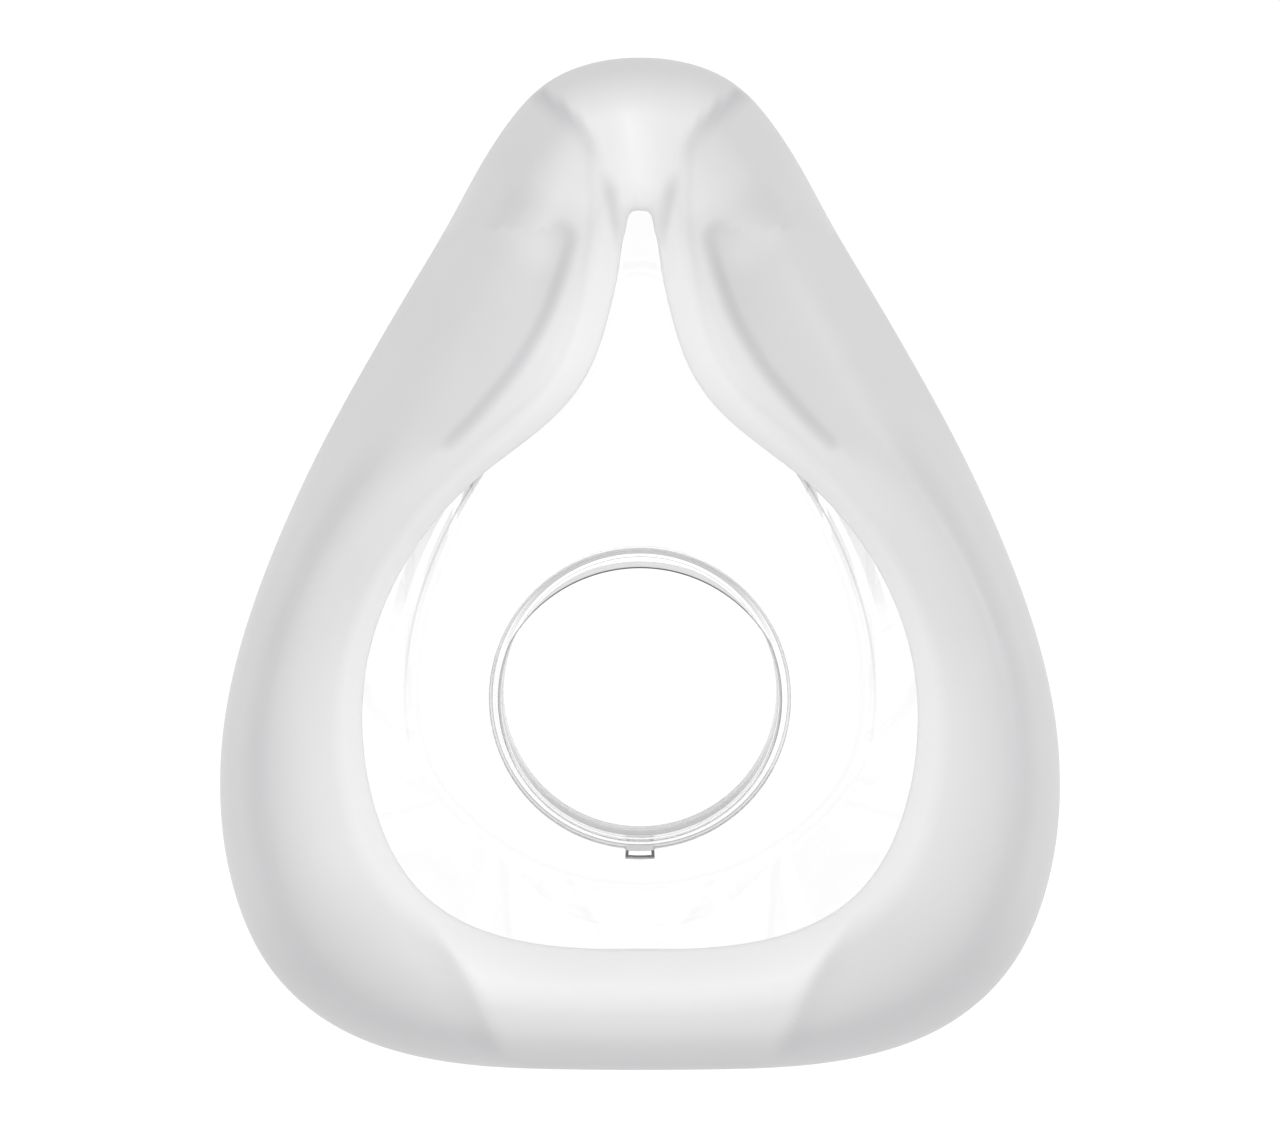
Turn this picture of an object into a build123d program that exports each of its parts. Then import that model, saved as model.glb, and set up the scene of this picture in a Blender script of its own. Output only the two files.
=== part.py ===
from build123d import *
import math
import os

os.makedirs("parts", exist_ok=True)

# Cushion module of a full face mask, in millimetres. The origin is on the port axis
# at the port rim, +Z runs through the port towards the wearer's face, and +Y runs
# towards the nose bridge. The module stands on its port rim, face side up.

# Driving dimensions of the seal
SEAL_WIDTH = 104.0       # across the cheeks
SEAL_HEIGHT = 126.5      # nose bridge to chin
SEAL_DEPTH = 57.0        # port rim to the highest crest
CHIN_REACH = 44.5        # port axis down to the chin side
MEMBRANE = 0.9           # rolled membrane that lies on the face
SIDE_WALL = 1.5          # side wall at its widest point
ROOT_INSET = 0.45        # root's distance inwards, as a share of the membrane's width
ROOT_WIDTH = 3.8         # moulded root that grips the shell's flange
ROOT_BELOW = 1.6         # root below the flange
ROOT_ABOVE = 2.0         # root above the flange
UNDER_WALL = 1.5         # second wall that stiffens each side under the membrane
UNDER_GAP = 3.0          # air between that wall and the membrane

# Driving dimensions of the shell
PORT_BORE = 37.0
PORT_WALL = 1.5
PORT_LENGTH = 12.8       # port rim to the inner face of the shell
SHELL_WALL = 1.8
FACE_WIDTH = 62.0        # flat front face, side to side
FACE_TOP = 57.5          # its reach towards the nose
FACE_BOTTOM = 26.0       # its reach towards the chin
FLANGE_Z = 22.2          # underside of the flange
FLANGE_THICK = 1.6
FLANGE_GRIP = 2.4        # depth of the flange in the seal's root
GROOVE_Z = 4.2           # retaining groove round the outside of the port
GROOVE_WIDTH = 4.6
GROOVE_DEPTH = 0.4
KEY_WIDTH = 3.6          # locating key on the chin side of the port
KEY_DEPTH = 1.3
KEY_LENGTH = 2.2
KEY_CORNER = 0.4
STOP_RISE = 1.1          # half-moon stop at the inner end of the port
STOP_THICK = 1.2
STOP_RELIEF = 0.25       # bore's step outwards where the stop begins
STOP_REACH = 60.0        # degrees that it covers each side of the nose direction
BOND_GAP = 0.05          # clearance between the seal and the shell

# Angles of the seal's section, from the horizontal, in degrees
ROOT_ANGLE = 135.0
LIP_ANGLE = -40.0
UNDER_ROOT_ANGLE = 75.0
UNDER_TIP_ANGLE = -10.0
CREST_SHARE = 0.42       # crest's distance inwards, as a share of the membrane's width

# Stations from the nose bridge down one side to the chin. Silhouette x and y and lip
# x and y are shares of the seal's half width and height, with y from the chin side.
# Then come the heights of the widest point, the crest and the lip as shares of the
# seal's depth, and the reach of the under wall as a share of the membrane's width.
STATIONS = [
    (0.000, 1.000, 0.000, 0.850, 0.649, 0.781, 0.702, 0.00),
    (0.106, 0.995, 0.016, 0.849, 0.658, 0.807, 0.707, 0.00),
    (0.203, 0.979, 0.027, 0.844, 0.675, 0.860, 0.719, 0.00),
    (0.295, 0.944, 0.033, 0.832, 0.693, 0.895, 0.737, 0.00),
    (0.370, 0.898, 0.040, 0.820, 0.711, 0.921, 0.754, 0.30),
    (0.447, 0.840, 0.050, 0.791, 0.728, 0.947, 0.789, 0.66),
    (0.530, 0.782, 0.069, 0.754, 0.737, 0.965, 0.825, 0.67),
    (0.614, 0.724, 0.107, 0.704, 0.737, 0.974, 0.860, 0.67),
    (0.720, 0.647, 0.207, 0.647, 0.737, 0.982, 0.877, 0.63),
    (0.815, 0.569, 0.381, 0.590, 0.737, 0.991, 0.895, 0.64),
    (0.904, 0.481, 0.539, 0.514, 0.737, 1.000, 0.895, 0.67),
    (0.972, 0.386, 0.632, 0.419, 0.737, 0.991, 0.895, 0.70),
    (1.000, 0.284, 0.638, 0.312, 0.719, 0.974, 0.877, 0.74),
    (0.970, 0.184, 0.575, 0.226, 0.702, 0.947, 0.842, 0.77),
    (0.882, 0.103, 0.486, 0.178, 0.684, 0.912, 0.807, 0.78),
    (0.716, 0.043, 0.379, 0.151, 0.667, 0.877, 0.781, 0.70),
    (0.470, 0.010, 0.254, 0.136, 0.649, 0.851, 0.763, 0.30),
    (0.218, 0.001, 0.119, 0.130, 0.632, 0.839, 0.754, 0.00),
    (0.000, 0.000, 0.000, 0.129, 0.632, 0.833, 0.754, 0.00),
]

# Flat front face of the shell: x as a share of its half width, then y as a share of
# its reach towards the nose or the chin
FACE_OUTLINE = [
    (0.00, 1.00),
    (0.20, 0.95),
    (0.46, 0.74),
    (0.74, 0.49),
    (0.95, 0.22),
    (1.00, 0.02),
    (0.945, -0.33),
    (0.73, -0.66),
    (0.38, -0.92),
    (0.00, -1.00),
]

HALF_WIDTH = SEAL_WIDTH / 2
FLANGE_TOP = FLANGE_Z + FLANGE_THICK
ROOT_BOTTOM = FLANGE_Z - ROOT_BELOW
ROOT_TOP = FLANGE_TOP + ROOT_ABOVE
FACE_Z = PORT_LENGTH - SHELL_WALL
PORT_RADIUS = PORT_BORE / 2
PORT_OUTSIDE = PORT_RADIUS + PORT_WALL

# The stop's edge is an arc that meets the bore STOP_REACH degrees to each side
STOP_EDGE = PORT_RADIUS - STOP_RISE
STOP_END = PORT_RADIUS * math.cos(math.radians(STOP_REACH))
STOP_SHIFT = (PORT_RADIUS**2 - STOP_EDGE**2) / (2 * (STOP_EDGE - STOP_END))


def heading(degrees):
    """Unit direction in a section's plane, as an angle from the inward horizontal."""
    return (math.cos(math.radians(degrees)), math.sin(math.radians(degrees)))


def on_seal(x_share, y_share):
    """Point in plan, from shares of the seal's half width and height."""
    return Vector(x_share * HALF_WIDTH, y_share * SEAL_HEIGHT - CHIN_REACH)


class Station:
    """One upright section of the seal, looking along its wall, u inwards and z up."""

    def __init__(self, row, side=1):
        sx, sy, lx, ly, wide, crest, lip, self.under = row
        self.wide_z = wide * SEAL_DEPTH
        self.crest_z = crest * SEAL_DEPTH
        self.lip_z = lip * SEAL_DEPTH
        self.outside = on_seal(side * sx, sy)
        inward = on_seal(side * lx, ly) - self.outside
        self.width = inward.length
        self.inward = inward.normalized()
        self.plane = Plane(self.outside, x_dir=self.inward, z_dir=self.inward.cross(Vector(0, 0, 1)))
        self.root = ROOT_INSET * self.width
        self.crest = CREST_SHARE * self.width

    def in_plan(self, u):
        """Point in plan at u inwards from the silhouette."""
        return self.outside + self.inward * u


stations = [Station(row) for row in STATIONS]
before_nose = Station(STATIONS[1], side=-1)
past_chin = Station(STATIONS[-2], side=-1)


def rim_outline(step):
    """Closed outline in plan, step inwards from the outside of the seal's root."""
    one_side = [station.in_plan(station.root + step) for station in stations]
    other_side = [Vector(-point.X, point.Y) for point in reversed(one_side[1:-1])]
    Spline(*one_side, *other_side, periodic=True)


def face_outline(inset):
    """Closed outline of the shell's flat face, drawn in by inset."""
    one_side = []
    for x_share, y_share in FACE_OUTLINE:
        reach = FACE_TOP if y_share > 0 else FACE_BOTTOM
        point = Vector(x_share * FACE_WIDTH / 2, y_share * reach)
        one_side.append(point - point.normalized() * inset)
    other_side = [Vector(-point.X, point.Y) for point in reversed(one_side[1:-1])]
    Spline(*one_side, *other_side, periodic=True)


def seal_profile(station):
    """Root, side wall and rolled membrane, as one closed profile."""
    outer_root = (station.root, ROOT_TOP)
    inner_root = (station.root + ROOT_WIDTH, ROOT_TOP)
    lip = Vector(station.width, station.lip_z)
    lip_run = Vector(*heading(LIP_ANGLE))
    under_lip = lip - Vector(*heading(LIP_ANGLE + 90)) * MEMBRANE
    Polyline(outer_root, (outer_root[0], ROOT_BOTTOM), (inner_root[0], ROOT_BOTTOM), inner_root)
    Spline(
        outer_root,
        (0, station.wide_z),
        (station.crest, station.crest_z),
        lip,
        tangents=[heading(ROOT_ANGLE), (0, 1), (1, 0), lip_run],
    )
    Line(lip, under_lip)
    Spline(
        under_lip,
        (station.crest, station.crest_z - MEMBRANE),
        (SIDE_WALL, station.wide_z),
        inner_root,
        tangents=[-lip_run, (-1, 0), (0, -1), heading(ROOT_ANGLE + 180)],
    )


def under_profile(station):
    """Second wall, rooted in the side wall and lying under the membrane."""
    tip_u = station.under * station.width
    tip_z = station.crest_z - MEMBRANE - UNDER_GAP
    top_root = (SIDE_WALL / 2, station.wide_z + UNDER_WALL)
    low_root = (SIDE_WALL / 2, station.wide_z - UNDER_WALL)
    tip = (tip_u, tip_z)
    low_tip = (tip_u, tip_z - UNDER_WALL)
    Line(low_root, top_root)
    Spline(top_root, tip, tangents=[heading(UNDER_ROOT_ANGLE), heading(UNDER_TIP_ANGLE)])
    Line(tip, low_tip)
    Spline(low_tip, low_root, tangents=[heading(UNDER_TIP_ANGLE + 180), heading(UNDER_ROOT_ANGLE + 180)])


# Seal: one soft moulding, with root, side wall, rolled membrane and two under walls
with BuildPart() as seal_cushion:
    for station in [before_nose] + stations + [past_chin]:
        with BuildSketch(station.plane):
            with BuildLine():
                seal_profile(station)
            make_face()
    loft()
    for station in stations:
        if station.under > 0:
            with BuildSketch(station.plane):
                with BuildLine():
                    under_profile(station)
                make_face()
    loft()
    split(bisect_by=Plane.YZ, keep=Keep.TOP)
    mirror(about=Plane.YZ)
    with BuildSketch(Plane.XY.offset(FLANGE_Z - BOND_GAP)):
        with BuildLine():
            rim_outline(ROOT_WIDTH - FLANGE_GRIP - BOND_GAP)
        make_face()
    extrude(amount=FLANGE_THICK + 2 * BOND_GAP, mode=Mode.SUBTRACT)

seal_cushion.part.label = "seal_cushion"
export_step(seal_cushion.part, "parts/seal_cushion.step")

# Shell: one clear moulding, with flange, dish, flat face, port, key and stop
with BuildPart() as plenum_shell:
    with BuildSketch(Plane.XY.offset(FACE_Z)):
        with BuildLine():
            face_outline(0)
        make_face()
    with BuildSketch(Plane.XY.offset(FLANGE_TOP)):
        with BuildLine():
            rim_outline(ROOT_WIDTH + BOND_GAP)
        make_face()
    loft(ruled=True)
    with BuildSketch(Plane.XY.offset(FLANGE_Z)):
        with BuildLine():
            rim_outline(ROOT_WIDTH - FLANGE_GRIP)
        make_face()
    extrude(amount=FLANGE_THICK)
    with BuildSketch(Plane.XY.offset(PORT_LENGTH)):
        with BuildLine():
            face_outline(SHELL_WALL)
        make_face()
    with BuildSketch(Plane.XY.offset(FLANGE_TOP)):
        with BuildLine():
            rim_outline(ROOT_WIDTH + BOND_GAP + SHELL_WALL)
        make_face()
    loft(ruled=True, mode=Mode.SUBTRACT)
    with BuildSketch():
        Circle(PORT_OUTSIDE)
    extrude(amount=FACE_Z)
    with BuildSketch(Plane.XY.offset(GROOVE_Z)):
        Circle(PORT_OUTSIDE)
        Circle(PORT_OUTSIDE - GROOVE_DEPTH, mode=Mode.SUBTRACT)
    extrude(amount=GROOVE_WIDTH, mode=Mode.SUBTRACT)
    with BuildSketch(Plane.XY.offset(FACE_Z - KEY_LENGTH)):
        with Locations((0, -PORT_OUTSIDE)):
            Rectangle(KEY_WIDTH, 2 * KEY_DEPTH)
        fillet(vertices().sort_by(Axis.Y)[:2], KEY_CORNER)
    extrude(amount=KEY_LENGTH)
    with BuildSketch():
        Circle(PORT_RADIUS)
    extrude(amount=PORT_LENGTH, mode=Mode.SUBTRACT)
    with BuildSketch(Plane.XY.offset(PORT_LENGTH - STOP_THICK)):
        Circle(PORT_RADIUS + STOP_RELIEF)
    extrude(amount=STOP_THICK, mode=Mode.SUBTRACT)
    with BuildSketch(Plane.XY.offset(PORT_LENGTH - STOP_THICK)):
        Circle(PORT_RADIUS + STOP_RELIEF)
        with Locations((0, -STOP_SHIFT)):
            Circle(STOP_EDGE + STOP_SHIFT, mode=Mode.SUBTRACT)
    extrude(amount=STOP_THICK)

plenum_shell.part.label = "plenum_shell"
export_step(plenum_shell.part, "parts/plenum_shell.step")
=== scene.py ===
import math

import bmesh
import bpy
import numpy as np
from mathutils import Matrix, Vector


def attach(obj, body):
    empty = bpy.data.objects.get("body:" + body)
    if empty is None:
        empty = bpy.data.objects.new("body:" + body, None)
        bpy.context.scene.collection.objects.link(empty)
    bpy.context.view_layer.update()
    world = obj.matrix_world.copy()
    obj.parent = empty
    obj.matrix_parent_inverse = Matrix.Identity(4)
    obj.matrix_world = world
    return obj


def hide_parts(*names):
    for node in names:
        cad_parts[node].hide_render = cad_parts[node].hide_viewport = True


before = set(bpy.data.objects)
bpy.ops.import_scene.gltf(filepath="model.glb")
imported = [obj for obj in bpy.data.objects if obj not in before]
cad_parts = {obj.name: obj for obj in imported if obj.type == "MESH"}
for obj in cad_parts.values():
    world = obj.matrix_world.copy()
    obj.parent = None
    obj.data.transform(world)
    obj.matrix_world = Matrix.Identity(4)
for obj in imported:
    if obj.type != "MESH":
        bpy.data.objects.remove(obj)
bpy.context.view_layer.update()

MM = 0.001

# The photograph's camera, in millimetres and degrees, in the part's own frame
IMAGE_WIDTH = 1280
FOCAL_PIXELS = 3357.0
CAMERA_AT = (0.0, 42.0, 455.0)
CAMERA_TILT = -3.229

# Sizes of the seal, in millimetres and degrees
SEAL_WIDTH = 104.0
SEAL_HEIGHT = 126.5
SEAL_DEPTH = 57.0
CHIN_REACH = 44.5
ROOT_INSET = 0.45        # share of the membrane's width
ROOT_WIDTH = 3.8
ROOT_BELOW = 1.6
ROOT_ABOVE = 2.0
CREST_SHARE = 0.42       # share of the membrane's width
SHOULDER = 0.26          # upright run above the widest point, as a share of the rise
LIP_ANGLE = -40.0
BOND_GAP = 0.05

# Wall thickness along the seal's section, and the second wall under the membrane
WALL_AT_ROOT = 2.2
WALL_AT_WIDEST = 1.5
WALL_AT_CREST = 0.9
WALL_AT_LIP = 0.7
LIP_RADIUS = WALL_AT_LIP / 2
LIP_BACK = 0.5           # how far the lip's rounding starts before its end, in its radii
UNDER_WALL = 1.4
UNDER_GAP = 2.6
ROOT_CHAMFER = 0.4

# Steps along the seal's section: its wall, its roll and the part over to the lip; the
# under wall's sides; and the steps of the inner side between which the under wall stands
WALL_STEPS = 20
ROLL_STEPS = 26
OVER_STEPS = 30
UNDER_STEPS = 18
UNDER_HIGH = 28
UNDER_LOW = 15

# Sizes of the shell
PORT_RADIUS = 18.5
PORT_OUTSIDE = 20.0
PORT_LENGTH = 12.8
SHELL_WALL = 1.8
FACE_Z = PORT_LENGTH - SHELL_WALL
FACE_HALF_WIDTH = 31.0
FACE_TOP = 57.5
FACE_BOTTOM = 26.0
FLANGE_Z = 22.2
FLANGE_TOP = 23.8
FLANGE_GRIP = 2.4
GROOVE_Z = 4.2
GROOVE_TOP = 8.8
GROOVE_DEPTH = 0.4
KEY_WIDTH = 3.6
KEY_DEPTH = 1.3
STOP_EDGE = 17.4         # port axis to the stop's edge, towards the nose
STOP_REACH = 60.0        # degrees that the stop covers to each side
STOP_THICK = 1.2
STOP_RELIEF = 0.25

# How far the rounding of an edge reaches along each of its sides
CREASE_EASE = 0.5
FLANGE_EASE = 0.3
RIM_EASE = 0.12
SHARP_EASE = 0.08
TONE_EASE = 0.05         # no edge: only a change of painted shade
FINE_EASE = 0.04

# Where the shell's painted shade and frost change
KEY_LINE = 0.34          # width of the painted shade line along the key's edges
KEY_FOOT = 20.45         # radius where the key leaves the collar's painted shade
KEY_SNAP = 0.02          # from the key's edge to the points on both sides of it
BORE_TONES = (4.6, 9.4)      # heights on the bore's wall
RIM_TONES = (18.95, 19.4)    # radii on the rim's end face
CREASE_LINE = (1.5, 2.0)     # along the dish from its foot, where a faint painted shade line with frost runs

# Stations from the nose bridge down one side to the chin: silhouette x and y and lip
# x and y as shares of the half width and height; heights of the widest point, the crest
# and the lip as shares of the depth; and the under wall's reach as a share of the
# membrane's width
STATIONS = [
    (0.000, 1.000, 0.000, 0.850, 0.649, 0.781, 0.702, 0.00),
    (0.106, 0.995, 0.016, 0.849, 0.658, 0.807, 0.707, 0.00),
    (0.203, 0.979, 0.027, 0.844, 0.675, 0.860, 0.719, 0.00),
    (0.295, 0.944, 0.033, 0.832, 0.693, 0.895, 0.737, 0.00),
    (0.370, 0.898, 0.040, 0.820, 0.711, 0.921, 0.754, 0.30),
    (0.447, 0.840, 0.050, 0.791, 0.728, 0.947, 0.789, 0.66),
    (0.530, 0.782, 0.069, 0.754, 0.737, 0.965, 0.825, 0.67),
    (0.614, 0.724, 0.107, 0.704, 0.737, 0.974, 0.860, 0.67),
    (0.720, 0.647, 0.207, 0.647, 0.737, 0.982, 0.877, 0.63),
    (0.815, 0.569, 0.381, 0.590, 0.737, 0.991, 0.895, 0.64),
    (0.904, 0.481, 0.539, 0.514, 0.737, 1.000, 0.895, 0.67),
    (0.972, 0.386, 0.632, 0.419, 0.737, 0.991, 0.895, 0.70),
    (1.000, 0.284, 0.638, 0.312, 0.719, 0.974, 0.877, 0.74),
    (0.970, 0.184, 0.575, 0.226, 0.702, 0.947, 0.842, 0.77),
    (0.882, 0.103, 0.486, 0.178, 0.684, 0.912, 0.807, 0.78),
    (0.716, 0.043, 0.379, 0.151, 0.667, 0.877, 0.781, 0.70),
    (0.470, 0.010, 0.254, 0.136, 0.649, 0.851, 0.763, 0.30),
    (0.218, 0.001, 0.119, 0.130, 0.632, 0.839, 0.754, 0.00),
    (0.000, 0.000, 0.000, 0.129, 0.632, 0.833, 0.754, 0.00),
]
SX, SY, LX, LY, WIDE, CREST, LIP, UNDER, PLACE = range(9)

# Flat front face of the shell: x as a share of its half width, then y as a share of
# its reach towards the nose or the chin
FACE_OUTLINE = [
    (0.00, 1.00),
    (0.20, 0.95),
    (0.46, 0.74),
    (0.74, 0.49),
    (0.95, 0.22),
    (1.00, 0.02),
    (0.945, -0.33),
    (0.73, -0.66),
    (0.38, -0.92),
    (0.00, -1.00),
]
AROUND = 440             # sections round the seal and the shell

# Painted light and shade on the silicone, from 0 to 1, against the share of the way from the
# silhouette to the lip, in six zones: low is painted shade where the silicone is thick or doubled
# and light from below is blocked, high is painted light where the thin membrane is lit through
PAINTED_SHADE_ON_SIDES = [
    (0.0, 0.18), (0.12, 0.1), (0.2, 0.1), (0.3, -0.03), (0.37, -0.03),
    (0.5, 0.2), (0.65, 0.42), (0.8, 0.72), (0.9, 1.15), (1.0, 1.45),
]
PAINTED_SHADE_ON_BRIDGE = [
    (0.0, 0.05), (0.3, 0.08), (0.5, 0.36), (0.7, 0.78), (0.8, 0.8), (0.9, 1.1), (1.0, 1.3),
]
PAINTED_SHADE_ON_WINGS = [(0.0, 0.05), (0.12, 0.12), (1.0, 0.12)]
PAINTED_SHADE_ON_CORNERS = [
    (0.0, -0.05), (0.1, -0.12), (0.25, -0.18), (0.35, -0.15), (0.5, 0.08),
    (0.7, 0.3), (0.8, 0.48), (0.9, 0.95), (1.0, 1.4),
]
PAINTED_SHADE_ON_SADDLE = [
    (0.0, -0.03), (0.1, 0.05), (0.25, 0.43), (0.4, 0.77), (0.6, 0.85), (0.8, 1.07), (1.0, 1.4),
]
PAINTED_SHADE_ON_CHIN = [
    (0.0, -0.2), (0.13, -0.2), (0.25, -0.04), (0.55, 0.4), (0.8, 1.25), (0.9, 1.4), (1.0, 1.5),
]

# The side wall below the widest point has one level of painted shade, reached over this height
PAINTED_SHADE_ON_WALL = 0.12
WALL_FADE = 3.0

# Where zones meet: station places with their softness, and runs of points in plan on one
# side of the middle, in millimetres
BRIDGE_ENDS = (3.6, 4.6)
WINGS = (3.8, 8.4, 0.5)
CORNERS = (13.4, 0.8)
SADDLE_EDGE = [
    (11.9, 77.3), (9.7, 75.4), (8.0, 73.8), (6.4, 72.1), (5.4, 70.2),
    (4.9, 68.0), (4.0, 66.4), (2.6, 65.1), (1.2, 63.8), (0.6, 62.0),
]
CHIN_EDGE = [
    (27.0, -21.5), (24.6, -25.8), (21.9, -30.0), (19.6, -34.8), (17.4, -40.1), (16.4, -44.0),
]
CHIN_BEGINS = (13.6, 14.8)

# Edge of the under wall below the membrane, from its hooked end beside the nose; a painted shadow line
# runs along it
UNDER_EDGE = [
    (9.9, 60.2), (9.2, 60.2), (8.7, 59.7), (8.6, 58.9), (9.2, 56.7), (10.0, 54.1),
    (11.3, 50.4), (13.1, 47.0), (15.2, 43.6), (17.8, 40.5), (20.5, 37.4), (22.9, 35.0),
]
EDGE_FADE = (0.2, 1.8)

# Runs in plan of faint painted shade beside the nasal slot and over the roll of each side
SLOT_SHADE_LINE = [(4.4, 67.8), (3.7, 65.0), (3.1, 62.0), (2.7, 58.5), (3.0, 54.5)]
ROLL_SHADE_LINE = [
    (6.1, 70.5), (5.9, 66.0), (5.9, 61.0), (6.6, 55.0), (7.6, 49.3),
    (9.4, 44.3), (12.4, 40.2), (15.7, 37.7), (19.8, 34.4), (23.8, 30.8),
]

# Soft painted marks on each side of the middle, painted shade along the saddle's fold, beside the
# nasal slot, along the under wall's edge, over the roll and along the chin, and one painted
# lighter patch: points in plan, in millimetres, how far each fades to the left and right of
# the run, and its strength from start to end
PAINTED_SHADE_MARKS = [
    (SADDLE_EDGE[:5], 2.6, 0.8, (-0.45, -0.4, -0.25, -0.1)),
    (SLOT_SHADE_LINE, 1.2, 1.8, (0.0, -0.5, -0.6, -0.35, 0.0)),
    (UNDER_EDGE, 0.9, 1.7, (0.0, -0.25, -0.27, -0.27, -0.27, -0.27, -0.25)),
    ([(14.5, 60.0), (11.5, 57.5)], 4.0, 4.0, (0.1, 0.15)),
    (ROLL_SHADE_LINE, 0.9, 0.7, (-0.1, -0.12, -0.12, -0.1, 0.0)),
    (CHIN_EDGE, 4.0, 0.6, (0.0, -0.15, -0.12, 0.0)),
]


def smoothstep(low, high, value):
    """Zero below low, one above high, smooth between."""
    t = np.clip((value - low) / (high - low), 0.0, 1.0)
    return t * t * (3.0 - 2.0 * t)


def periodic_spline(knots, rows, at):
    """Closed C2 cubic spline through the rows at the knots; the last knot closes it."""
    count = len(rows)
    gaps = np.diff(knots)
    system = np.zeros((count, count))
    right = np.zeros((count, rows.shape[1]))
    for i in range(count):
        before, after = gaps[i - 1], gaps[i]
        system[i, i - 1] += before
        system[i, i] += 2.0 * (before + after)
        system[i, (i + 1) % count] += after
        rise_after = (rows[(i + 1) % count] - rows[i]) / after
        rise_before = (rows[i] - rows[i - 1]) / before
        right[i] = 6.0 * (rise_after - rise_before)
    bends = np.linalg.solve(system, right)
    cell = np.clip(np.searchsorted(knots, at, side="right") - 1, 0, count - 1)
    after = (cell + 1) % count
    width = gaps[cell][:, None]
    u = knots[cell + 1][:, None] - at[:, None]
    v = at[:, None] - knots[cell][:, None]
    line = (rows[cell] / width - bends[cell] * width / 6.0) * u
    line += (rows[after] / width - bends[after] * width / 6.0) * v
    return line + (bends[cell] * u**3 + bends[after] * v**3) / (6.0 * width)


def with_other_side(half, mirrored):
    """Rows of one side followed by the other side's, with the mirrored columns negated."""
    other = half[-2:0:-1].copy()
    other[:, mirrored] *= -1.0
    return np.vstack([half, other])


def chord_knots(rows, pairs):
    """Distances along a closed run of rows, summed over pairs of plan columns."""
    steps = np.roll(rows, -1, axis=0) - rows
    lengths = sum(np.hypot(steps[:, a], steps[:, b]) for a, b in pairs)
    return np.concatenate([[0.0], np.cumsum(lengths)])


def seal_sections():
    """Station values in millimetres all the way round the seal, evenly spaced."""
    half = np.array(STATIONS)
    half = np.hstack([half, np.arange(len(half))[:, None]])
    half[:, [SX, LX]] *= SEAL_WIDTH / 2
    half[:, [SY, LY]] = half[:, [SY, LY]] * SEAL_HEIGHT - CHIN_REACH
    half[:, [WIDE, CREST, LIP]] *= SEAL_DEPTH
    rows = with_other_side(half, [SX, LX])
    knots = chord_knots(rows, [(SX, SY), (LX, LY)])
    return periodic_spline(knots, rows, np.arange(AROUND) / AROUND * knots[-1])


def inward_of(sections):
    """Unit direction in plan from the silhouette to the lip, at every section."""
    run = sections[:, [LX, LY]] - sections[:, [SX, SY]]
    return run / np.linalg.norm(run, axis=1, keepdims=True)


def width_of(sections):
    """Width of the membrane in plan, at every section."""
    run = sections[:, [LX, LY]] - sections[:, [SX, SY]]
    return np.linalg.norm(run, axis=1)


def bezier(a, b, c, d, count, last=False):
    """Points of a cubic curve whose control points are arrays of (u, z), one per section."""
    t = np.linspace(0.0, 1.0, count + 1)
    if not last:
        t = t[:-1]
    t = t[:, None, None]
    return (1 - t) ** 3 * a + 3 * (1 - t) ** 2 * t * b + 3 * (1 - t) * t**2 * c + t**3 * d


def uz(u, z):
    """Control point as an array of (u, z), one per section."""
    u, z = np.broadcast_arrays(u, z)
    return np.stack([u, z], axis=-1).astype(float)


def ring_mesh(name, rings, values):
    """Closed smooth mesh piece from rings of points in millimetres, with named values."""
    count, around, _ = rings.shape
    faces = []
    for i in range(count):
        below, above = i * around, (i + 1) % count * around
        for j in range(around):
            k = (j + 1) % around
            faces.append((below + j, below + k, above + k, above + j))
    mesh = bpy.data.meshes.new(name)
    mesh.from_pydata((rings.reshape(-1, 3) * MM).tolist(), [], faces)
    work = bmesh.new()
    work.from_mesh(mesh)
    bmesh.ops.recalc_face_normals(work, faces=work.faces)
    work.to_mesh(mesh)
    work.free()
    mesh.polygons.foreach_set("use_smooth", [True] * len(faces))
    for value_name, value in values.items():
        layer = mesh.attributes.new(value_name, "FLOAT", "POINT")
        layer.data.foreach_set("value", value.reshape(-1).astype(np.float32))
    mesh.update()
    made = bpy.data.objects.new(name, mesh)
    bpy.context.scene.collection.objects.link(made)
    return made


def half_round(start, end, out):
    """Points of a rounded end between start and end, which reaches out as given."""
    angle = np.linspace(0.0, math.pi, 7)[1:-1][:, None, None]
    centre = (start + end) / 2
    return centre + (start - centre) * np.cos(angle) + out * np.sin(angle)


def outer_side(row):
    """Outside of the seal's section from the root to the lip, and its unit direction."""
    lip_run = np.radians(LIP_ANGLE)
    width = width_of(row)
    wide_z, crest_z, lip_z = row[:, WIDE], row[:, CREST], row[:, LIP]
    root = ROOT_INSET * width
    crest = CREST_SHARE * width
    root_top = FLANGE_TOP + ROOT_ABOVE
    start = uz(root, root_top - 0.6)
    widest = uz(0.0 * width, wide_z)
    top = uz(crest, crest_z)
    set_back = LIP_BACK * LIP_RADIUS
    lip = uz(width - set_back * math.cos(lip_run), lip_z - set_back * math.sin(lip_run))
    flare = np.hypot(root, wide_z - root_top)
    fall = np.hypot(width - crest, crest_z - lip_z)
    shoulder = uz(0, SHOULDER * (crest_z - wide_z))
    lip_back = uz(0.36 * fall * math.cos(lip_run), 0.36 * fall * math.sin(lip_run))
    from_root = start + uz(-0.26 * flare, 0.3 * flare)
    wall = bezier(start, from_root, widest - uz(0, 0.36 * flare), widest, WALL_STEPS)
    roll = bezier(widest, widest + shoulder, top - uz(0.56 * crest, 0), top, ROLL_STEPS)
    over = bezier(top, top + uz(0.4 * fall, 0), lip - lip_back, lip, OVER_STEPS, last=True)
    outer = np.concatenate([wall, roll, over])
    run = np.gradient(outer, axis=0)
    return outer, run / np.linalg.norm(run, axis=2, keepdims=True)


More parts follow.
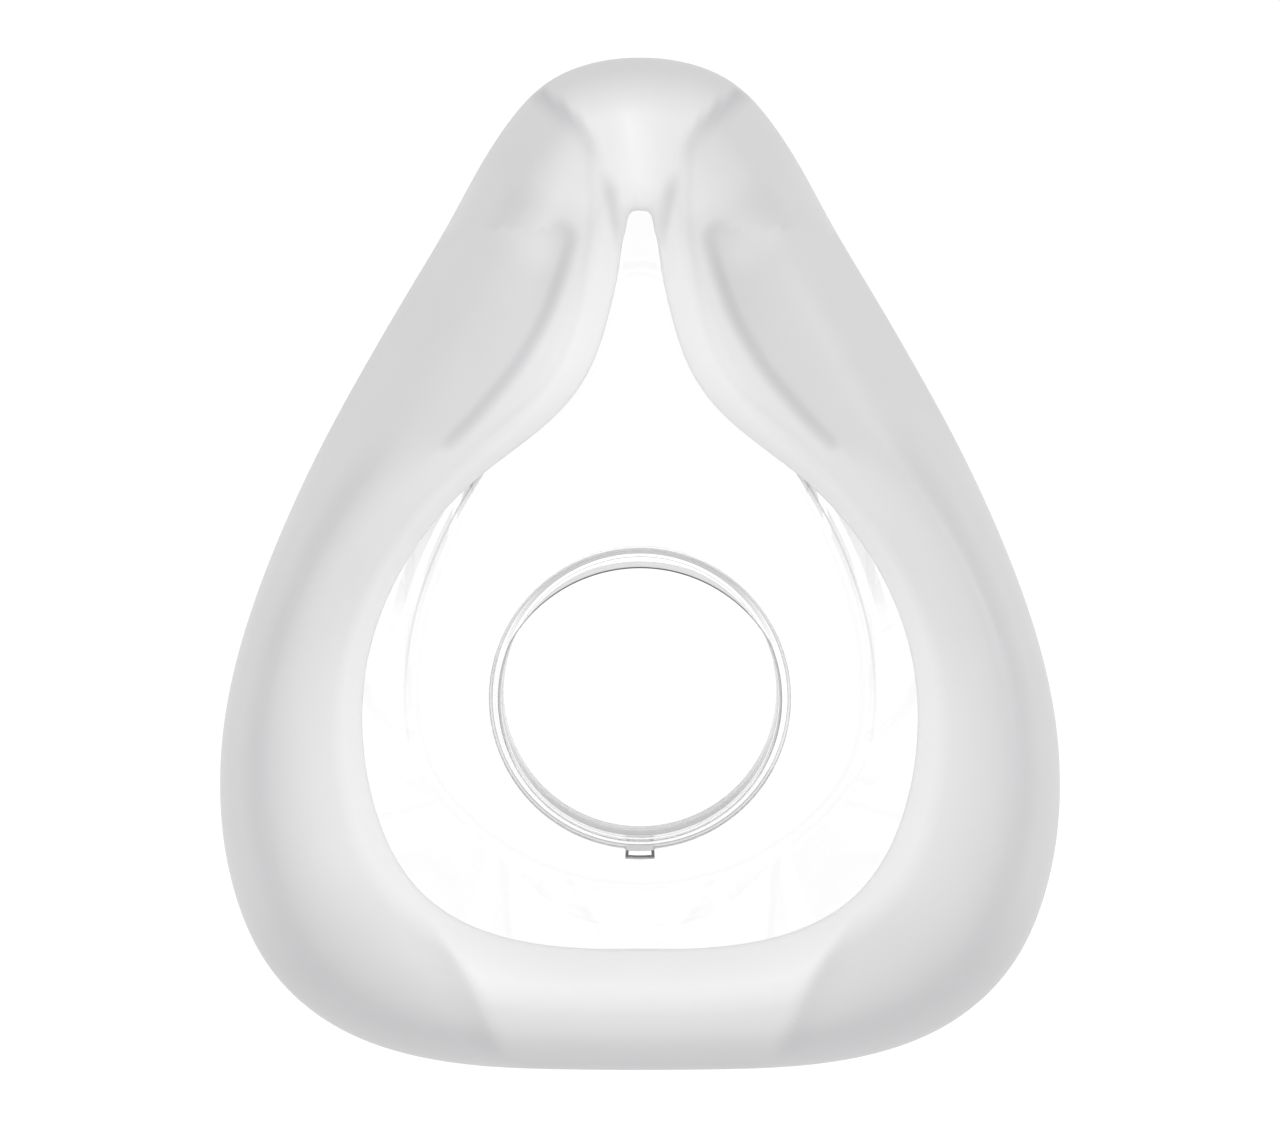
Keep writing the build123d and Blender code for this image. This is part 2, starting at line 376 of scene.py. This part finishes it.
def inner_side(outer, run):
    """Inside of the wall, whose thickness changes from the root to the lip."""
    inward = np.stack([run[..., 1], -run[..., 0]], axis=-1)
    stops = [0, WALL_STEPS, WALL_STEPS + ROLL_STEPS, len(outer) - 1]
    walls = [WALL_AT_ROOT, WALL_AT_WIDEST, WALL_AT_CREST, WALL_AT_LIP]
    thick = np.interp(np.arange(len(outer)), stops, walls)[:, None, None]
    return outer + inward * thick


def under_wall(row, inner):
    """Second wall under the membrane, which sinks into the inner side where it ends."""
    share = smoothstep(0.02, 0.3, row[:, UNDER])[None, :, None]
    reach = np.maximum(row[:, UNDER], 0.3) * width_of(row)
    tip_z = row[:, CREST] - WALL_AT_CREST - UNDER_GAP
    from_high, from_low = inner[UNDER_HIGH], inner[UNDER_LOW]
    point = uz(reach, tip_z)
    below = uz(reach, tip_z - UNDER_WALL)
    gap = np.hypot(*(point - from_high).T)
    rise = uz(0.1 * gap, 0.45 * gap)
    droop = uz(0.5 * gap, -0.06 * gap)
    top = bezier(from_high, from_high + rise, point - droop, point, UNDER_STEPS, last=True)
    tip = half_round(point, below, uz(0 * reach + UNDER_WALL / 2, 0))
    low = bezier(below, below - droop, from_low + rise, from_low, UNDER_STEPS, last=True)
    blade = np.concatenate([top, tip, low])
    along = np.linspace(UNDER_HIGH, UNDER_LOW, len(blade))
    base = inner[np.round(along).astype(int)]
    return base + (blade - base) * share


def root_block(row):
    """Block that grips the shell's flange, open towards the shell."""
    root = ROOT_INSET * width_of(row)
    inside = root + ROOT_WIDTH
    slot_end = inside - FLANGE_GRIP - BOND_GAP
    low = FLANGE_Z - ROOT_BELOW
    return np.stack([
        uz(inside, FLANGE_TOP + ROOT_ABOVE - 0.2),
        uz(inside, FLANGE_TOP + BOND_GAP),
        uz(slot_end, FLANGE_TOP + BOND_GAP),
        uz(slot_end, FLANGE_Z - BOND_GAP),
        uz(inside, FLANGE_Z - BOND_GAP),
        uz(inside, low + ROOT_CHAMFER),
        uz(inside - ROOT_CHAMFER, low),
        uz(root + ROOT_CHAMFER, low),
        uz(root, low + ROOT_CHAMFER),
    ])


def seal_profile(row):
    """Closed section of the seal at every station: points (u, z), outside first."""
    outer, run = outer_side(row)
    inner = inner_side(outer, run)
    lip = half_round(outer[-1], inner[-1], run[-1] * LIP_RADIUS)
    upper = inner[:UNDER_HIGH:-1]
    lower = inner[UNDER_LOW - 1 : 1 : -1]
    return np.concatenate([outer, lip, upper, under_wall(row, inner), lower, root_block(row)])


def zone(place, start, end, soft):
    """One between two station places, zero beyond them."""
    begun = smoothstep(start - soft, start + soft, place)
    return begun * (1 - smoothstep(end - soft, end + soft, place))


def rounded(points):
    """Run of points with its corners cut twice."""
    run = np.array(points)
    for _ in range(2):
        cut = np.stack([0.75 * run[:-1] + 0.25 * run[1:], 0.25 * run[:-1] + 0.75 * run[1:]], axis=1)
        run = np.vstack([run[:1], cut.reshape(-1, 2), run[-1:]])
    return run


def beside(plan, points):
    """Distance in plan from a run of points, positive on its right, and the share of it passed."""
    run = rounded(points)
    steps = np.diff(run, axis=0)
    lengths = np.linalg.norm(steps, axis=1)
    passed = np.cumsum(lengths) - lengths
    nearest = np.full(plan.shape[:-1], np.inf)
    signed, share = np.zeros_like(nearest), np.zeros_like(nearest)
    for start, step, length, before in zip(run, steps, lengths, passed):
        way = plan - start
        t = np.clip(way @ step / length**2, 0.0, 1.0)
        gap = np.linalg.norm(way - t[..., None] * step, axis=-1)
        side = np.sign(way[..., 0] * step[1] - way[..., 1] * step[0])
        closer = gap < nearest
        nearest = np.where(closer, gap, nearest)
        signed = np.where(closer, side * gap, signed)
        share = np.where(closer, (before + t * length) / lengths.sum(), share)
    return signed, share


def painted_shade_mark(plan, points, left, right, strengths):
    """Soft painted shade or light along a run of points, by how far it fades to each side and its
    strengths.
    """
    away, share = beside(plan, points)
    fade = np.where(away > 0, away / right, -away / left)
    along = np.interp(share, np.linspace(0.0, 1.0, len(strengths)), strengths)
    return along * (1 - smoothstep(0.0, 1.0, fade))


def silicone_painted_shade(sections, profile):
    """Painted light and shade on the silicone at every point, laid out by how thick it is."""
    place = sections[:, PLACE]
    width = width_of(sections)
    share = np.clip(profile[..., 0] / width, 0.0, 1.0)
    plan = in_place(sections, profile)[..., :2]
    plan[..., 0] = np.abs(plan[..., 0])
    in_saddle = smoothstep(-0.8, 1.2, beside(plan, SADDLE_EDGE)[0])
    in_chin = smoothstep(-0.8, 2.0, beside(plan, CHIN_EDGE)[0]) * smoothstep(*CHIN_BEGINS, place)
    past_edge = beside(plan, UNDER_EDGE)[0]
    zones = [
        (PAINTED_SHADE_ON_BRIDGE, 1 - smoothstep(*BRIDGE_ENDS, place)),
        (PAINTED_SHADE_ON_WINGS, zone(place, *WINGS) * (1 - smoothstep(*EDGE_FADE, past_edge))),
        (PAINTED_SHADE_ON_CORNERS, smoothstep(CORNERS[0] - CORNERS[1], CORNERS[0] + CORNERS[1], place)),
        (PAINTED_SHADE_ON_SADDLE, in_saddle),
        (PAINTED_SHADE_ON_CHIN, in_chin),
    ]
    painted_shade = np.interp(share, *zip(*PAINTED_SHADE_ON_SIDES))
    for table, amount in zones:
        painted_shade += (np.interp(share, *zip(*table)) - painted_shade) * amount
    # painted shade lines and one painted lighter patch
    for mark in PAINTED_SHADE_MARKS:
        painted_shade += painted_shade_mark(plan, *mark)
    upper = smoothstep(-WALL_FADE, 0.0, profile[..., 1] - sections[:, WIDE])
    return PAINTED_SHADE_ON_WALL + (painted_shade - PAINTED_SHADE_ON_WALL) * upper


def in_place(sections, profile):
    """Places (u, z) profile points in the part's frame, one ring per profile point."""
    plan = sections[None, :, [SX, SY]] + inward_of(sections)[None] * profile[..., 0:1]
    return np.concatenate([plan, profile[..., 1:2]], axis=-1)


class ShellRings:
    """Rings of the shell, each with one point for every section of the seal."""

    def __init__(self, sections):
        self.sections = sections
        rim = self.rim(ROOT_WIDTH, 0.0)
        steps = np.linalg.norm(np.roll(rim, -1, axis=0) - rim, axis=1)
        self.share = np.concatenate([[0.0], np.cumsum(steps)[:-1]]) / steps.sum()
        # points gather on the chin side of the port, where the key needs them
        self.angle = 2 * math.pi * self.share + 0.3 * np.sin(2 * math.pi * self.share)
        for side in (-1, 1):
            self.set_key_points(side)

    def rim(self, step, z):
        """Outline of the seal's root in plan, step inwards from its outside."""
        inset = ROOT_INSET * width_of(self.sections) + step
        plan = self.sections[:, [SX, SY]] + inward_of(self.sections) * inset[:, None]
        return np.column_stack([plan, np.full(len(plan), z)])

    def face(self, inset, z):
        """Outline of the flat face, drawn in by inset."""
        half = np.array(FACE_OUTLINE)
        half[:, 0] *= FACE_HALF_WIDTH
        half[:, 1] *= np.where(half[:, 1] > 0, FACE_TOP, FACE_BOTTOM)
        half -= half / np.linalg.norm(half, axis=1, keepdims=True) * inset
        rows = with_other_side(half, [0])
        knots = chord_knots(rows, [(0, 1)])
        plan = periodic_spline(knots, rows, self.share * knots[-1])
        return np.column_stack([plan, np.full(len(plan), z)])

    def circle(self, radius, z):
        """Ring round the port's axis; radius is a number or one value per section."""
        way = np.stack([np.sin(self.angle), np.cos(self.angle)], axis=1)
        plan = way * np.reshape(radius, (-1, 1))
        return np.column_stack([plan, np.full(len(plan), z)])

    def set_key_points(self, side):
        """Moves the points beside the key's edges onto them, on one side."""
        across = side * PORT_OUTSIDE * np.sin(self.angle)
        order = np.argsort(np.where(np.cos(self.angle) < 0, across, -np.inf))
        half = KEY_WIDTH / 2
        first = np.searchsorted(across[order] * (np.cos(self.angle[order]) < 0), half)
        line = half - KEY_LINE
        places = (half + KEY_SNAP, half - KEY_SNAP, line + KEY_SNAP, line - KEY_SNAP)
        for step, place in enumerate(places):
            self.angle[order[first - step]] = math.pi - side * math.asin(place / PORT_OUTSIDE)

    def on_key(self, inset=0.0):
        """One on the key drawn in by inset, zero beside it."""
        across = np.abs(PORT_OUTSIDE * np.sin(self.angle))
        half = KEY_WIDTH / 2 - inset
        return (across < half) * (np.cos(self.angle) < 0) * 1.0

    def around(self, nose, sides, chin):
        """One value per section, from those towards the nose, the sides and the chin."""
        towards = np.cos(self.angle)
        value = sides + (nose - sides) * smoothstep(0.1, 0.9, towards)
        return value + (chin - sides) * smoothstep(0.1, 0.9, -towards)

    def stop_radius(self):
        """Inside of the port at its inner end, narrowed by the half-moon stop."""
        end = PORT_RADIUS * math.cos(math.radians(STOP_REACH))
        shift = (PORT_RADIUS**2 - STOP_EDGE**2) / (2 * (STOP_EDGE - end))
        towards_nose = np.cos(self.angle)
        far = (STOP_EDGE + shift) ** 2 - shift**2
        arc = np.sqrt((shift * towards_nose) ** 2 + far) - shift * towards_nose
        return np.minimum(arc, PORT_RADIUS + STOP_RELIEF)


def eased(corners):
    """Rings of a closed section through corner rings, and their painted shade and frost."""
    rings, frost_and_painted_shades = [], []
    for i, (corner, ease, before, edge, after) in enumerate(corners):
        sides = []
        for other in (corners[i - 1][0], corners[(i + 1) % len(corners)][0]):
            way = other - corner
            length = np.maximum(np.linalg.norm(way, axis=1, keepdims=True), 1e-6)
            sides.append(way * np.minimum(ease / length, 0.36))
        back, ahead = sides
        rings.append(corner + back * 1.3)
        for t in np.linspace(0.0, 1.0, 5):
            rings.append(corner + back * (1 - t) ** 2 + ahead * t**2)
        rings.append(corner + ahead * 1.3)
        row = np.ones(len(corner))
        frost_and_painted_shades += [row * before] * 2 + [row * edge] * 3 + [row * after] * 2
    return np.stack(rings), np.stack(frost_and_painted_shades)


def shell_rings(sections):
    """Closed section of the shell: underside, flange, inside and port, with its painted shade and
    frost.
    """
    ring = ShellRings(sections)
    foot = ring.face(0.0, FACE_Z)
    lean = (FLANGE_Z - FACE_Z) / (FLANGE_TOP - FACE_Z)
    wall_top = foot + (ring.rim(ROOT_WIDTH + BOND_GAP, FLANGE_TOP) - foot) * lean
    flange_edge = ROOT_WIDTH - FLANGE_GRIP
    stop_z = PORT_LENGTH - STOP_THICK
    up_dish = wall_top - foot
    up_dish /= np.linalg.norm(up_dish, axis=1, keepdims=True)
    stop = ring.stop_radius()
    behind = np.minimum(stop + 0.85, PORT_RADIUS - 0.1)
    under_stop = np.where(stop > PORT_RADIUS, PORT_RADIUS + 0.12, behind)
    # painted shade and frost of the edges, towards the nose, the sides and the chin
    on_key = ring.on_key()
    key_sides = on_key - ring.on_key(KEY_LINE)
    rim = ring.around(0.75, 0.1, 0.0)
    bore = ring.around(0.0, 0.25, 0.48)
    groove = ring.around(0.0, 0.35, 0.62)
    step_inside = ring.around(0.7, 0.45, 0.8)
    step_outside = ring.around(0.5, 0.4, 0.5)
    step_end = step_outside * (1 - on_key)
    stop_edge = ring.around(1.0, 0.6, 0.0)
    stop_under = ring.around(0.55, 0.6, 0.0)
    ledge = ring.around(0.0, 0.65, 0.0)
    crease = ring.around(0.0, 0.33, 0.0)
    groove_end = step_inside * (1 - on_key) + 0.65 * on_key
    collar = ring.circle(PORT_OUTSIDE + KEY_DEPTH * on_key, GROOVE_TOP)
    collar_foot = ring.circle(PORT_OUTSIDE + KEY_DEPTH * on_key, FACE_Z)
    groove_low = ring.circle(PORT_OUTSIDE - GROOVE_DEPTH, GROOVE_Z)
    groove_high = ring.circle(PORT_OUTSIDE - GROOVE_DEPTH, GROOVE_TOP)
    key_foot = ring.circle(PORT_OUTSIDE - 0.2 + (KEY_FOOT - PORT_OUTSIDE + 0.2) * on_key, GROOVE_TOP)
    key_line = ring.circle(PORT_OUTSIDE - 0.1 + (KEY_DEPTH - 0.1) * on_key, GROOVE_TOP)
    inner_edge = ring.rim(ROOT_WIDTH + BOND_GAP + SHELL_WALL, FLANGE_TOP)
    # each corner has its ring, how far it is eased, and the painted shade and frost before, on and
    # after it
    return eased([
        (ring.circle(PORT_OUTSIDE, 0.0), RIM_EASE, 0.1, 0.2, 0.0),
        (ring.circle(PORT_OUTSIDE, GROOVE_Z), SHARP_EASE, 0.0, 0.2, 0.2),
        (groove_low, SHARP_EASE, 0.2, 0.2, 0.0),
        (groove_high, SHARP_EASE, 0.0, step_inside + 0.15 * on_key, groove_end),
        (key_foot, FINE_EASE, step_end + 0.65 * on_key, step_end + 0.85 * on_key, step_end + key_sides),
        (key_line, FINE_EASE, step_end + key_sides, step_end + on_key, step_end + on_key),
        (collar, SHARP_EASE, step_end + on_key, on_key, on_key),
        (collar_foot, 0.2, on_key, 0.0, 0.0),
        (foot, CREASE_EASE, 0.0, 0.0, 0.0),
        (foot + up_dish * CREASE_LINE[0], TONE_EASE, 0.0, crease, crease),
        (foot + up_dish * CREASE_LINE[1], TONE_EASE, crease, crease, 0.0),
        (wall_top, FLANGE_EASE, 0.0, 0.0, 0.0),
        (ring.rim(flange_edge, FLANGE_Z), FLANGE_EASE, 0.0, 0.0, 0.0),
        (ring.rim(flange_edge, FLANGE_TOP), FLANGE_EASE, 0.0, 0.0, 0.0),
        (inner_edge, 0.5, 0.0, 0.0, 0.0),
        (ring.face(SHELL_WALL, PORT_LENGTH), CREASE_EASE, 0.0, 0.0, 0.0),
        (ring.circle(stop, PORT_LENGTH), 0.25, 0.0, stop_edge, stop_edge),
        (ring.circle(stop, stop_z), 0.06, stop_edge, stop_under, stop_under),
        (ring.circle(under_stop, stop_z), FINE_EASE, stop_under, stop_under * 1.3, ledge),
        (ring.circle(PORT_RADIUS, stop_z), 0.06, ledge, ledge, 0.0),
        (ring.circle(PORT_RADIUS, BORE_TONES[1]), 0.1, 0.0, groove, groove),
        (ring.circle(PORT_RADIUS, BORE_TONES[0]), 0.1, groove, groove, bore),
        (ring.circle(PORT_RADIUS, 0.0), RIM_EASE, bore, bore, 0.0),
        (ring.circle(RIM_TONES[0], 0.0), TONE_EASE, 0.0, rim, rim),
        (ring.circle(RIM_TONES[1], 0.0), TONE_EASE, rim, rim, 0.1),
    ])


def silicone():
    """Frosted, translucent silicone whose base colour carries painted light and shade: paler where the
    thin membrane would be lit through, darker where shade falls.
    """
    mat = bpy.data.materials.new("frosted_silicone")
    mat.use_nodes = True
    nodes, links = mat.node_tree.nodes, mat.node_tree.links
    bsdf = nodes["Principled BSDF"]
    bsdf.inputs["IOR"].default_value = 1.41
    bsdf.inputs["Subsurface Weight"].default_value = 0.15
    bsdf.inputs["Subsurface Radius"].default_value = (1.0, 1.0, 1.0)
    bsdf.inputs["Subsurface Scale"].default_value = 0.0012
    coords = nodes.new("ShaderNodeTexCoord")
    painted_shade = nodes.new("ShaderNodeAttribute")
    painted_shade.attribute_name = "painted_shade"
    # cloudy unevenness of the moulding
    clouds = nodes.new("ShaderNodeTexNoise")
    clouds.inputs["Scale"].default_value = 110
    clouds.inputs["Detail"].default_value = 3
    links.new(coords.outputs["Object"], clouds.inputs["Vector"])
    # the painted light and shade, with a little of the cloudy unevenness added
    cloudy_painted_shade = nodes.new("ShaderNodeMath")
    cloudy_painted_shade.operation = "MULTIPLY_ADD"
    cloudy_painted_shade.inputs[1].default_value = 0.1
    links.new(clouds.outputs["Fac"], cloudy_painted_shade.inputs[0])
    links.new(painted_shade.outputs["Fac"], cloudy_painted_shade.inputs[2])
    shade = nodes.new("ShaderNodeMix")
    shade.data_type = "RGBA"
    shade.inputs["A"].default_value = (0.66, 0.66, 0.67, 1)
    shade.inputs["B"].default_value = (0.96, 0.96, 0.96, 1)
    shade.clamp_factor = False
    shade.clamp_result = True
    links.new(cloudy_painted_shade.outputs["Value"], shade.inputs["Factor"])
    links.new(shade.outputs["Result"], bsdf.inputs["Base Color"])
    # fine spark-eroded texture of the mould
    grain = nodes.new("ShaderNodeTexNoise")
    grain.inputs["Scale"].default_value = 2500
    links.new(coords.outputs["Object"], grain.inputs["Vector"])
    matt = nodes.new("ShaderNodeMapRange")
    matt.inputs["To Min"].default_value = 0.44
    matt.inputs["To Max"].default_value = 0.56
    links.new(grain.outputs["Fac"], matt.inputs["Value"])
    links.new(matt.outputs["Result"], bsdf.inputs["Roughness"])
    bump = nodes.new("ShaderNodeBump")
    bump.inputs["Strength"].default_value = 0.03
    bump.inputs["Distance"].default_value = 0.0002
    links.new(grain.outputs["Fac"], bump.inputs["Height"])
    links.new(bump.outputs["Normal"], bsdf.inputs["Normal"])
    return mat


def clear_plastic():
    """Polished clear plastic, with painted shade where it is seen along its surface and at its edges
    and steps.
    """
    mat = bpy.data.materials.new("clear_plastic")
    mat.use_nodes = True
    nodes, links = mat.node_tree.nodes, mat.node_tree.links
    bsdf = nodes["Principled BSDF"]
    bsdf.inputs["IOR"].default_value = 1.5
    bsdf.inputs["Transmission Weight"].default_value = 1.0
    # painted shade where the plastic is seen along its surface
    facing = nodes.new("ShaderNodeLayerWeight")
    facing.inputs["Blend"].default_value = 0.5
    edge = nodes.new("ShaderNodeMapRange")
    edge.inputs["From Min"].default_value = 0.72
    edge.inputs["From Max"].default_value = 0.92
    grazing_shade = nodes.new("ShaderNodeMix")
    grazing_shade.data_type = "RGBA"
    grazing_shade.inputs["A"].default_value = (1, 1, 1, 1)
    grazing_shade.inputs["B"].default_value = (0.9, 0.91, 0.92, 1)
    links.new(facing.outputs["Facing"], edge.inputs["Value"])
    links.new(edge.outputs["Result"], grazing_shade.inputs["Factor"])
    # painted shade along the edges and steps of the moulding, darker lines in place of the dark
    # surroundings seen through them, and rougher there
    frost_and_painted_shade = nodes.new("ShaderNodeAttribute")
    frost_and_painted_shade.attribute_name = "frost_and_painted_shade"
    darker = nodes.new("ShaderNodeMix")
    darker.data_type = "RGBA"
    darker.inputs["B"].default_value = (0.012, 0.012, 0.018, 1)
    links.new(frost_and_painted_shade.outputs["Fac"], darker.inputs["Factor"])
    links.new(grazing_shade.outputs["Result"], darker.inputs["A"])
    links.new(darker.outputs["Result"], bsdf.inputs["Base Color"])
    frost = nodes.new("ShaderNodeMath")
    frost.operation = "MULTIPLY"
    frost.inputs[1].default_value = 0.5
    links.new(frost_and_painted_shade.outputs["Fac"], frost.inputs[0])
    links.new(frost.outputs["Value"], bsdf.inputs["Roughness"])
    return mat


def dome(nodes, links, low, high, top):
    """Background whose strength rises from low at the horizon to high at the given height."""
    coords = nodes.new("ShaderNodeTexCoord")
    split = nodes.new("ShaderNodeSeparateXYZ")
    rise = nodes.new("ShaderNodeMapRange")
    rise.interpolation_type = "SMOOTHSTEP"
    rise.inputs["From Max"].default_value = top
    rise.inputs["To Min"].default_value = low
    rise.inputs["To Max"].default_value = high
    light = nodes.new("ShaderNodeBackground")
    links.new(coords.outputs["Generated"], split.inputs["Vector"])
    links.new(split.outputs["Z"], rise.inputs["Value"])
    links.new(rise.outputs["Result"], light.inputs["Strength"])
    return light.outputs["Background"]


def sky():
    """White behind the object, and a dome that is darker towards the horizon around it."""
    world = bpy.data.worlds.new("studio")
    bpy.context.scene.world = world
    world.use_nodes = True
    nodes, links = world.node_tree.nodes, world.node_tree.links
    nodes.clear()
    out = nodes.new("ShaderNodeOutputWorld")
    seen = nodes.new("ShaderNodeBackground")
    path = nodes.new("ShaderNodeLightPath")
    through = nodes.new("ShaderNodeMixShader")
    links.new(path.outputs["Is Diffuse Ray"], through.inputs["Fac"])
    links.new(dome(nodes, links, 0.5, 1.0, 0.35), through.inputs[1])
    links.new(dome(nodes, links, 0.82, 1.04, 0.6), through.inputs[2])
    direct = nodes.new("ShaderNodeMixShader")
    links.new(path.outputs["Is Camera Ray"], direct.inputs["Fac"])
    links.new(through.outputs["Shader"], direct.inputs[1])
    links.new(seen.outputs["Background"], direct.inputs[2])
    links.new(direct.outputs["Shader"], out.inputs["Surface"])


def floor():
    """White table, which keeps a faint shadow of the object."""
    bpy.ops.mesh.primitive_plane_add(size=4, location=(0, 0, -0.0002))
    table = bpy.context.object
    table.name = "floor"
    mat = bpy.data.materials.new("white_table")
    mat.use_nodes = True
    nodes, links = mat.node_tree.nodes, mat.node_tree.links
    nodes.clear()
    out = nodes.new("ShaderNodeOutputMaterial")
    paper = nodes.new("ShaderNodeBsdfDiffuse")
    paper.inputs["Color"].default_value = (0.9, 0.9, 0.9, 1)
    glow = nodes.new("ShaderNodeEmission")
    glow.inputs["Strength"].default_value = 1.08
    mix = nodes.new("ShaderNodeMixShader")
    mix.inputs["Fac"].default_value = 0.94
    links.new(paper.outputs["BSDF"], mix.inputs[1])
    links.new(glow.outputs["Emission"], mix.inputs[2])
    links.new(mix.outputs["Shader"], out.inputs["Surface"])
    table.data.materials.append(mat)


def softbox(name, at, size, energy):
    """Round lamp that faces the middle of the object."""
    lamp = bpy.data.lights.new(name, "AREA")
    lamp.shape = "DISK"
    lamp.size = size
    lamp.energy = energy
    box = bpy.data.objects.new(name, lamp)
    box.location = at
    box.rotation_euler = (Vector(at) - Vector((0, 0.02, 0.04))).to_track_quat("Z", "Y").to_euler()
    bpy.context.scene.collection.objects.link(box)
    return box


def studio():
    """Table, light and the photograph's camera."""
    scene = bpy.context.scene
    scene.view_settings.view_transform = "Standard"
    sky()
    floor()
    softbox("overhead", (0.05, 0.08, 0.5), 0.3, 0.34)
    sheen = softbox("sheen", (0.5, 0.16, 0.66), 0.4, 3.0)
    sheen.visible_diffuse = False
    sheen.visible_transmission = False

    camera = bpy.data.cameras.new("camera")
    camera.sensor_width = 36.0
    camera.lens = FOCAL_PIXELS / IMAGE_WIDTH * camera.sensor_width
    camera.clip_start = 0.01
    at = bpy.data.objects.new("camera", camera)
    at.location = [value * MM for value in CAMERA_AT]
    at.rotation_euler = (math.radians(CAMERA_TILT), 0, 0)
    scene.collection.objects.link(at)
    scene.camera = at


def add_piece(name, rings, mat, node, values):
    """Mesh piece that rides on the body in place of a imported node."""
    piece = ring_mesh(name, rings, values)
    piece.data.materials.append(mat)
    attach(piece, "root")
    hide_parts(node)


studio()
sections = seal_sections()
profile = seal_profile(sections)
# painted light and shade on the silicone, stored on its points
painted_shade = {"painted_shade": silicone_painted_shade(sections, profile)}
seal = in_place(sections, profile)
add_piece("seal_membrane", seal, silicone(), "seal_cushion", painted_shade)
shell, frost_and_painted_shades = shell_rings(sections)
add_piece("clear_shell", shell, clear_plastic(), "plenum_shell", {"frost_and_painted_shade": frost_and_painted_shades})
